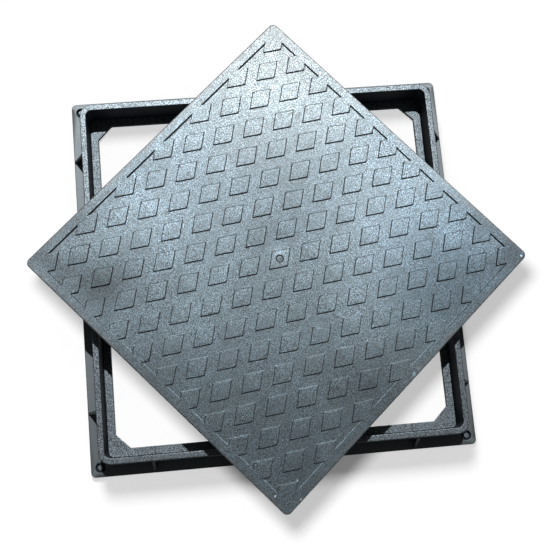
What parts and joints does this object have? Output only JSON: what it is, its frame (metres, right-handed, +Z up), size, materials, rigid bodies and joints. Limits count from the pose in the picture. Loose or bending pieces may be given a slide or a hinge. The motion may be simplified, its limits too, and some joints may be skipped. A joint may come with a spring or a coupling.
{
  "type": "grease trap cover",
  "caption": "Square moulded access cover with a raised rhomb tread and a ribbed underside, lying turned on the rim of its flanged seat frame.",
  "frame": {"origin": "centre of the seat frame, on the plane of its base", "axes": "+Z up, out of the floor; X and Y along the frame's sides, +Y to the far side of the picture; the cover lies turned by 41.6 degrees about +Z"},
  "size_m": [0.6992, 0.6992, 0.086],
  "materials": {
    "frame_composite": "moulded mineral-filled composite, dark blue-grey, fine light and dark speckle, semi-matte",
    "cover_composite": "moulded mineral-filled composite, dark blue-grey, fine light and dark speckle, semi-matte with a broad sheen"
  },
  "bodies": {
    "root": {"frame": "frame_composite", "cover": "cover_composite"}
  },
  "joints": []
}
